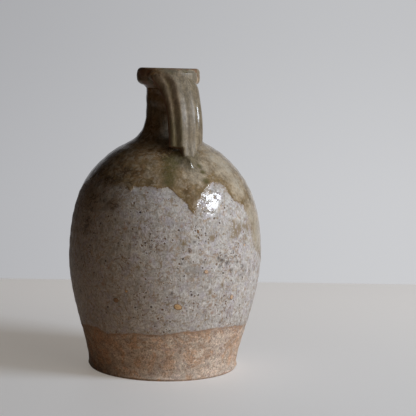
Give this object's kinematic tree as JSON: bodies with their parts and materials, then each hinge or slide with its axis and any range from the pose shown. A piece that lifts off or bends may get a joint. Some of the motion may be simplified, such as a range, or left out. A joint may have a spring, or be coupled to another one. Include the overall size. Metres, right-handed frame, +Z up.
{
  "type": "jug",
  "caption": "Hand-thrown stoneware jug with an ovoid body, a narrow neck, a collar round the mouth and a fluted strap handle luted from collar to shoulder.",
  "frame": {"origin": "centre of the foot, on the surface that the jug stands on", "axes": "+Z up along the axis on which the jug was thrown; +X from that axis towards the handle"},
  "size_m": [0.1754, 0.1754, 0.27],
  "materials": {
    "body_glaze": "thin grey glaze, satin, pitted, over buff clay that is bare at the foot",
    "gloss_glaze": "glossy olive ash glaze, pooled in the grooves",
    "luting_slip": "fired slip under the same glossy glaze"
  },
  "bodies": {
    "root": {"vessel_body": "body_glaze", "mouth_collar": "gloss_glaze", "strap_handle": "gloss_glaze", "collar_luting": "luting_slip", "root_luting": "luting_slip"}
  },
  "joints": []
}
